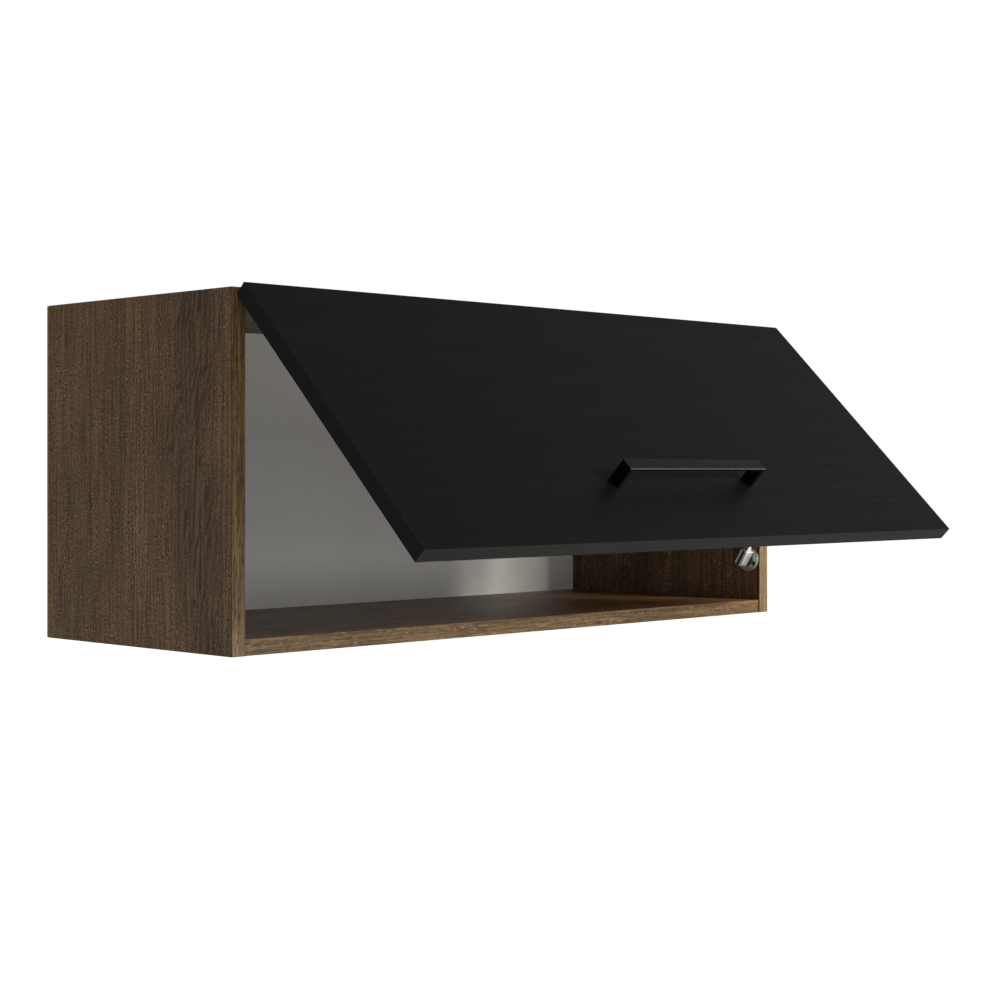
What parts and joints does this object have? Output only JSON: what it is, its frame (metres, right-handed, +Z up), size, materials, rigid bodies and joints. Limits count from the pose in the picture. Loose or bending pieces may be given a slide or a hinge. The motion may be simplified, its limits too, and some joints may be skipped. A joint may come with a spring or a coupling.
{
  "type": "lift up wall cabinet",
  "caption": "Wide, low wall cabinet in brown wood-grain board with a black lift-up flap on cup hinges, a bar handle and a gas strut inside.",
  "frame": {"origin": "centre of the back panel's rear face, which lies on the wall", "axes": "+X to the cabinet's right as seen from the room, +Y into the wall, +Z up"},
  "size_m": [0.8, 0.5533, 0.3382],
  "materials": {
    "brown_board": "melamine wood grain, satin",
    "brown_edge": "edge band, satin",
    "back_white": "white lacquered fibreboard, satin",
    "black_board": "black melamine with a fine horizontal grain, satin",
    "black_edge": "black edge band, satin",
    "black_metal": "black powder coat, satin",
    "steel": "nickel-plated stamped steel",
    "zinc": "zinc-plated die casting, satin",
    "strut_black": "dark lacquered steel tube, satin",
    "beech": "plain beech",
    "bump_stop": "milky soft plastic"
  },
  "bodies": {
    "carcass": {"back_panel": "back_white", "side_panel_left": "brown_board", "side_panel_right": "brown_board", "top_panel": "brown_board", "bottom_panel": "brown_board", "edge_band_left": "brown_edge", "edge_band_right": "brown_edge", "edge_band_top": "brown_edge", "edge_band_bottom": "brown_edge", "cam_top_left_front": "zinc", "cam_top_left_rear": "zinc", "cam_top_right_front": "zinc", "cam_top_right_rear": "zinc", "cam_bottom_left_front": "zinc", "cam_bottom_left_rear": "zinc", "cam_bottom_right_front": "zinc", "cam_bottom_right_rear": "zinc", "cam_bolt_top_left_front": "steel", "cam_bolt_top_left_rear": "steel", "cam_bolt_top_right_front": "steel", "cam_bolt_top_right_rear": "steel", "cam_bolt_bottom_left_front": "steel", "cam_bolt_bottom_left_rear": "steel", "cam_bolt_bottom_right_front": "steel", "cam_bolt_bottom_right_rear": "steel", "dowel_top_left": "beech", "dowel_top_right": "beech", "dowel_bottom_left": "beech", "dowel_bottom_right": "beech", "wall_hanger_left": "steel", "wall_hanger_right": "steel", "hinge_plate_left": "zinc", "hinge_plate_right": "zinc", "hinge_arm_left": "steel", "hinge_arm_right": "steel", "hinge_screw_left_a": "zinc", "hinge_screw_left_b": "zinc", "hinge_screw_right_a": "zinc", "hinge_screw_right_b": "zinc", "strut_flange": "zinc"},
    "flap": {"flap_panel": "black_board", "flap_edge_band": "black_edge", "handle": "black_metal", "handle_screw_left": "zinc", "handle_screw_right": "zinc", "bump_stop_left": "bump_stop", "bump_stop_right": "bump_stop", "hinge_cup_left": "steel", "hinge_cup_right": "steel", "strut_flap_bracket": "zinc"},
    "strut_cylinder": {"strut_tube": "strut_black", "strut_socket_upper": "zinc"},
    "strut_piston": {"strut_rod": "steel", "strut_socket_lower": "zinc", "strut_stud_lower": "steel"},
    "outer_links": {"hinge_link_outer_left": "steel", "hinge_link_outer_right": "steel"},
    "inner_links": {"hinge_link_inner_left": "steel", "hinge_link_inner_right": "steel"}
  },
  "joints": [
    {"name": "flap_open", "type": "hinge", "parent": "carcass", "child": "flap", "pos_m": [0, -0.3131, 0.1659], "axis": [-1, 0, 0], "range_deg": [-45.2, 0]},
    {"name": "strut_swing", "type": "hinge", "parent": "flap", "child": "strut_cylinder", "pos_m": [0.3735, -0.39131, 0.06244], "axis": [-1, 0, 0], "range_deg": [0, 74.2]},
    {"name": "strut_extend", "type": "slide", "parent": "strut_cylinder", "child": "strut_piston", "axis": [0, 0.5293, -0.8485], "range_m": [-0.0546, 0]},
    {"name": "outer_link_swing", "type": "hinge", "parent": "carcass", "child": "outer_links", "pos_m": [0, -0.31317, 0.1429], "axis": [-1, 0, 0], "range_deg": [0, 41.1]},
    {"name": "inner_link_swing", "type": "hinge", "parent": "carcass", "child": "inner_links", "pos_m": [0, -0.31312, 0.1349], "axis": [-1, 0, 0], "range_deg": [0, 41.7]}
  ],
  "couplings": [
    {"joint": "strut_swing", "follows": "flap_open", "ratio": -1.64},
    {"joint": "strut_extend", "follows": "flap_open", "m_per_rad": 0.069115},
    {"joint": "outer_link_swing", "follows": "flap_open", "ratio": -0.9076},
    {"joint": "inner_link_swing", "follows": "flap_open", "ratio": -0.92088}
  ]
}
